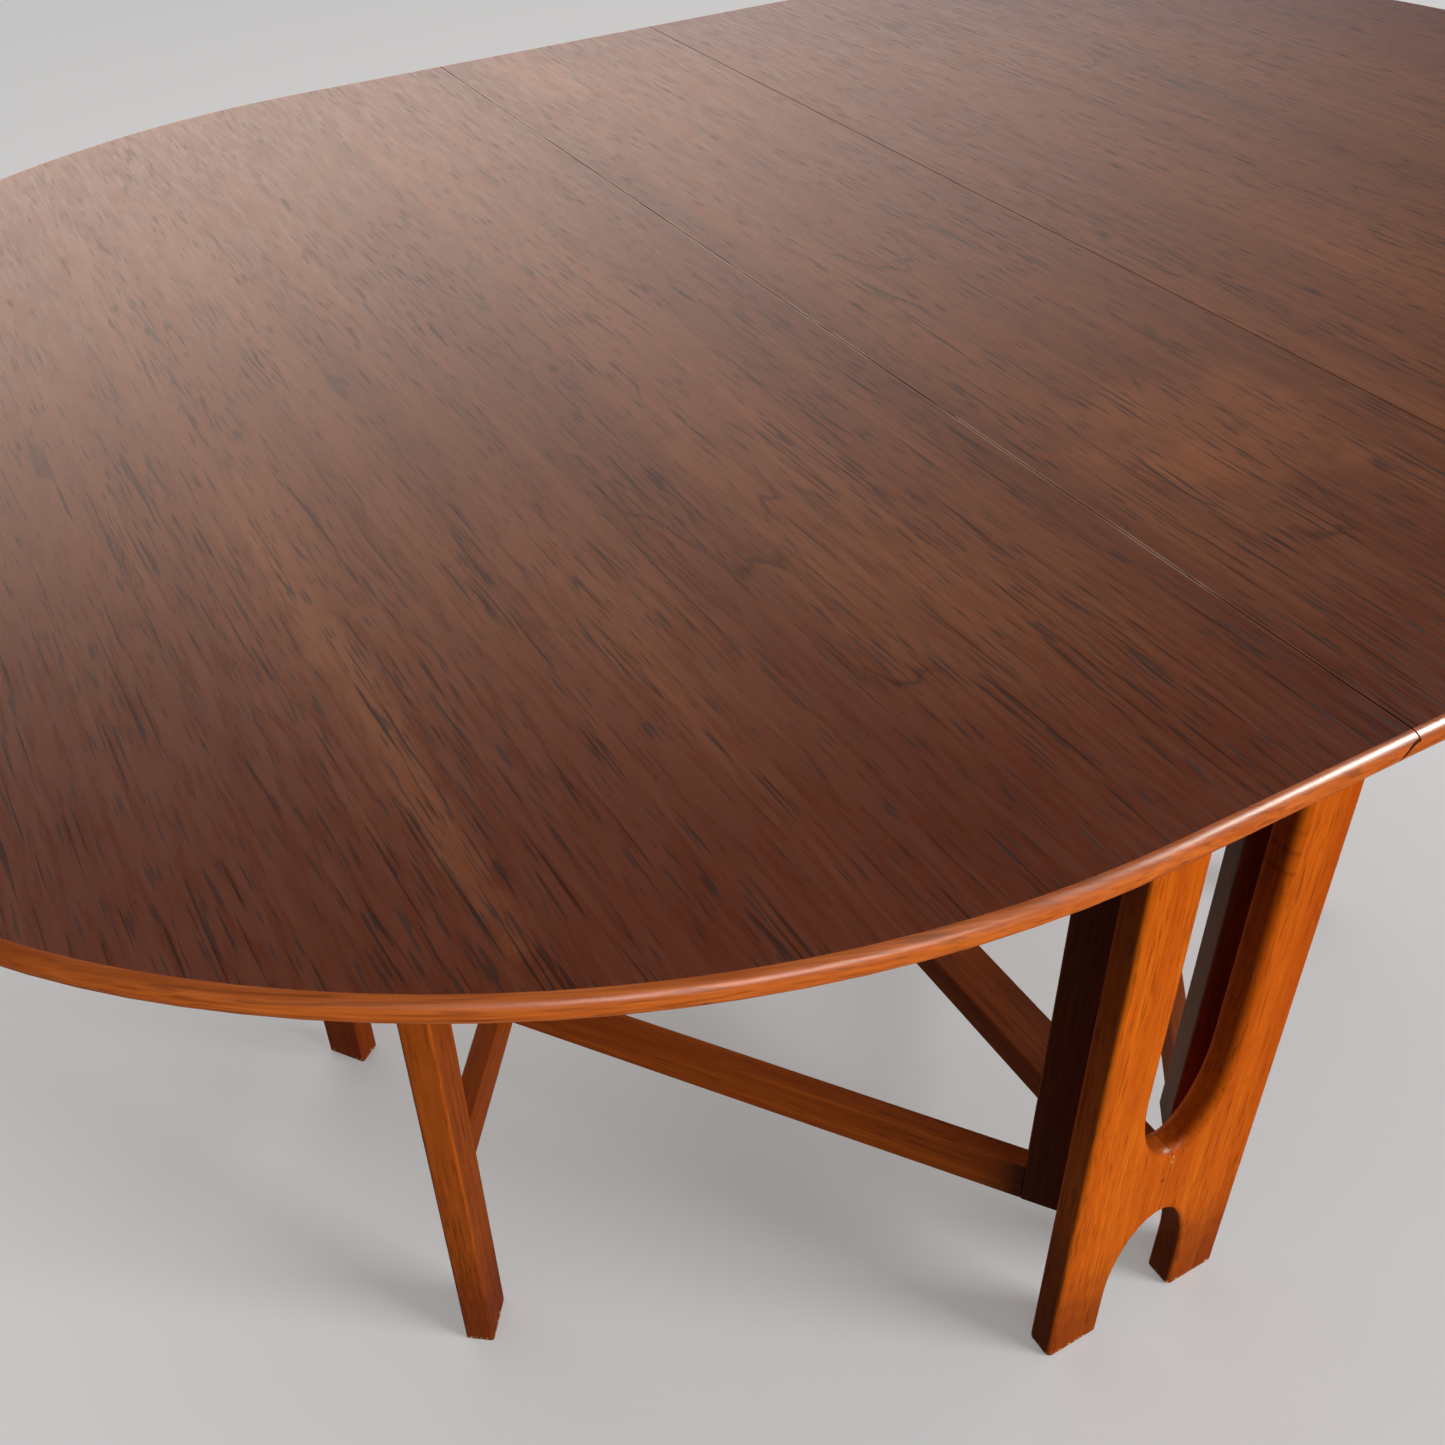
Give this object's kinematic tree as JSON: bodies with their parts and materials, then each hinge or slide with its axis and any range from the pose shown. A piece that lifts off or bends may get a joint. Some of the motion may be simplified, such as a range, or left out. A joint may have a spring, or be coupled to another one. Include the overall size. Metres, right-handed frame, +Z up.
{
  "type": "drop leaf table",
  "caption": "Drop leaf table with an oval top, rule-jointed leaves on swinging gates and slotted end frames.",
  "frame": {"origin": "on the floor under the middle of the top", "axes": "+X across the leaves, the long way of the oval; +Y along the seams, towards the back end frame; +Z up"},
  "size_m": [1.4838, 1.067, 0.73],
  "materials": {
    "veneer": "dark reddish brown teak veneer, open pores, worn satin oil",
    "board_core": "plain board, not seen when the leaves are up",
    "edge_strips": "solid teak strips shaped to the rule joint, oiled",
    "lipping": "solid teak edge, rounded and oiled, brighter than the veneer",
    "end_frames": "solid teak, oiled, edges rounded",
    "gate_uprights": "solid teak, oiled",
    "gate_rails": "solid teak, oiled",
    "rails": "solid teak, oiled",
    "gate_stops": "small hardwood blocks, oiled",
    "hinge_plates": "dull, tarnished",
    "hinge_pins": "plain steel wire",
    "screws": "plain steel"
  },
  "bodies": {
    "frame": {"back_frame_hinge_plates": "hinge_plates", "back_frame_left_half": "end_frames", "back_frame_right_half": "end_frames", "bottom_stretcher": "rails", "centre_back_lipping": "lipping", "centre_board_core": "board_core", "centre_board_veneer": "veneer", "centre_front_lipping": "lipping", "centre_left_ovolo_strip": "edge_strips", "centre_right_ovolo_strip": "edge_strips", "frame_hinge_screws": "screws", "front_frame_hinge_plates": "hinge_plates", "front_frame_left_half": "end_frames", "front_frame_right_half": "end_frames", "gate_hinge_pins": "hinge_pins", "left_leaf_hinge_pins": "hinge_pins", "left_leaf_hinge_short_plates": "hinge_plates", "left_top_rail": "rails", "right_leaf_hinge_pins": "hinge_pins", "right_leaf_hinge_short_plates": "hinge_plates", "right_top_rail": "rails", "top_fixing_screws": "screws"},
    "left_leaf": {"left_leaf_core": "board_core", "left_leaf_cove_strip": "edge_strips", "left_leaf_gate_stops": "gate_stops", "left_leaf_hinge_long_plates": "hinge_plates", "left_leaf_lipping": "lipping", "left_leaf_screws": "screws", "left_leaf_veneer": "veneer"},
    "right_leaf": {"right_leaf_core": "board_core", "right_leaf_cove_strip": "edge_strips", "right_leaf_gate_stops": "gate_stops", "right_leaf_hinge_long_plates": "hinge_plates", "right_leaf_lipping": "lipping", "right_leaf_screws": "screws", "right_leaf_veneer": "veneer"},
    "front_left_gate": {"front_left_gate_hinge_plates": "hinge_plates", "front_left_gate_leg": "gate_uprights", "front_left_gate_lower_rail": "gate_rails", "front_left_gate_post": "gate_uprights", "front_left_gate_screws": "screws", "front_left_gate_upper_rail": "gate_rails"},
    "back_left_gate": {"back_left_gate_hinge_plates": "hinge_plates", "back_left_gate_leg": "gate_uprights", "back_left_gate_lower_rail": "gate_rails", "back_left_gate_post": "gate_uprights", "back_left_gate_screws": "screws", "back_left_gate_upper_rail": "gate_rails"},
    "front_right_gate": {"front_right_gate_hinge_plates": "hinge_plates", "front_right_gate_leg": "gate_uprights", "front_right_gate_lower_rail": "gate_rails", "front_right_gate_post": "gate_uprights", "front_right_gate_screws": "screws", "front_right_gate_upper_rail": "gate_rails"},
    "back_right_gate": {"back_right_gate_hinge_plates": "hinge_plates", "back_right_gate_leg": "gate_uprights", "back_right_gate_lower_rail": "gate_rails", "back_right_gate_post": "gate_uprights", "back_right_gate_screws": "screws", "back_right_gate_upper_rail": "gate_rails"}
  },
  "joints": [
    {"name": "left_leaf_hinge", "type": "hinge", "parent": "frame", "child": "left_leaf", "pos_m": [-0.10425, 0, 0.7155], "axis": [0, 1, 0], "range_deg": [0, 2]},
    {"name": "right_leaf_hinge", "type": "hinge", "parent": "frame", "child": "right_leaf", "pos_m": [0.10425, 0, 0.7155], "axis": [0, -1, 0], "range_deg": [0, 2]},
    {"name": "front_left_gate_hinge", "type": "hinge", "parent": "frame", "child": "front_left_gate", "pos_m": [-0.0586, -0.3747, 0.464], "axis": [0, 0, -1], "range_deg": [0, 34]},
    {"name": "back_left_gate_hinge", "type": "hinge", "parent": "frame", "child": "back_left_gate", "pos_m": [-0.0586, 0.3747, 0.464], "axis": [0, 0, 1], "range_deg": [0, 34]},
    {"name": "front_right_gate_hinge", "type": "hinge", "parent": "frame", "child": "front_right_gate", "pos_m": [0.0586, -0.3747, 0.464], "axis": [0, 0, 1], "range_deg": [0, 34]},
    {"name": "back_right_gate_hinge", "type": "hinge", "parent": "frame", "child": "back_right_gate", "pos_m": [0.0586, 0.3747, 0.464], "axis": [0, 0, -1], "range_deg": [0, 34]}
  ],
  "couplings": [
    {"joint": "back_left_gate_hinge", "follows": "front_left_gate_hinge", "ratio": 1},
    {"joint": "back_right_gate_hinge", "follows": "front_right_gate_hinge", "ratio": 1}
  ]
}
